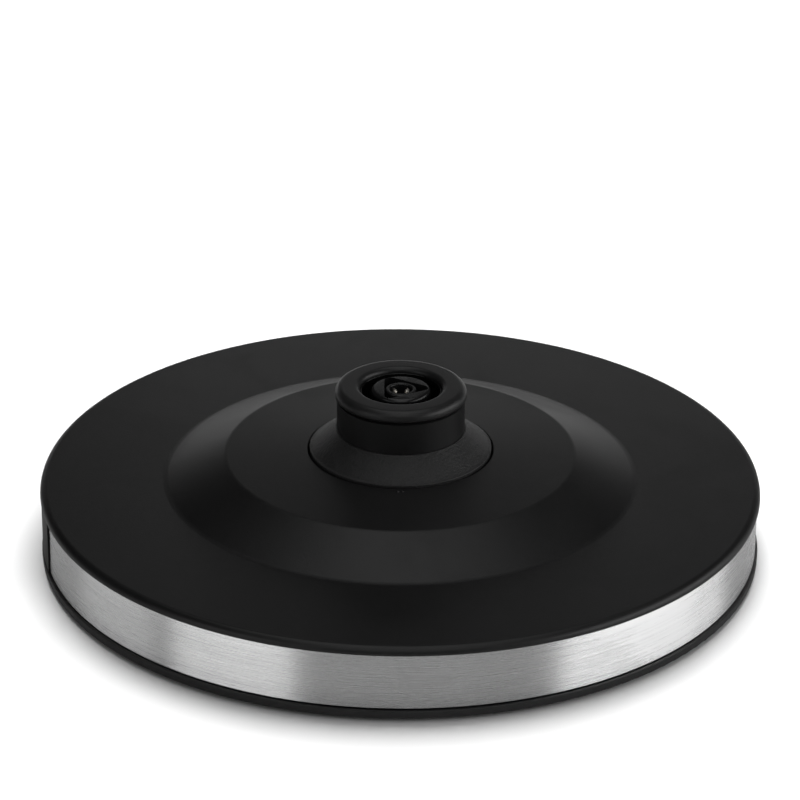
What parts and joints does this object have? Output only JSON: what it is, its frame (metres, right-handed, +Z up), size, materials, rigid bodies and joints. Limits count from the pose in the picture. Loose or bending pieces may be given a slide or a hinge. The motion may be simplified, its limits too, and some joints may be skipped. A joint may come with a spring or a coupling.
{
  "type": "electric kettle power base",
  "caption": "Round kettle power base: black plastic stand with a brushed steel side band and a raised 360 degree connector with a sprung centre island.",
  "frame": {"origin": "under the middle of the base, on the surface that the feet stand on", "axes": "+Z up through the connector; -Y is the front, the side with the two alignment dots; +X to the right seen from the front"},
  "size_m": [0.1728, 0.1728, 0.0422],
  "materials": {
    "cover_plastic": "satin black moulding",
    "connector_plastic": "spark-eroded black moulding",
    "band_steel": "brushed round the circumference",
    "rubber": "soft black",
    "screw_steel": "zinc plated",
    "spring_steel": "drawn wire",
    "contact_brass": "bright sprung strip"
  },
  "bodies": {
    "base": {"top_cover": "cover_plastic", "crown": "cover_plastic", "bottom_cover": "cover_plastic", "steel_band": "band_steel", "cord_gland": "rubber", "cord_clamp": "connector_plastic", "clamp_screws": "screw_steel", "case_screws": "screw_steel", "connector_tower": "connector_plastic", "connector_skirt": "connector_plastic", "fixing_ring": "connector_plastic", "connector_cap": "connector_plastic", "channel_liner": "connector_plastic", "connector_screws": "screw_steel", "terminal_carrier": "connector_plastic", "carrier_screws": "screw_steel", "centre_post": "connector_plastic", "shutter_spring": "spring_steel", "live_contact": "contact_brass", "neutral_contact": "contact_brass", "earth_contact": "contact_brass", "rubber_foot_1": "rubber", "rubber_foot_2": "rubber", "rubber_foot_3": "rubber", "rubber_foot_4": "rubber"},
    "island": {"shutter": "connector_plastic"}
  },
  "joints": [
    {"name": "island_press", "type": "slide", "parent": "base", "child": "island", "axis": [0, 0, -1], "range_m": [0, 0.003], "stiffness_N_per_m": 400, "springref_m": -0.003, "deforming": ["shutter_spring"]}
  ]
}
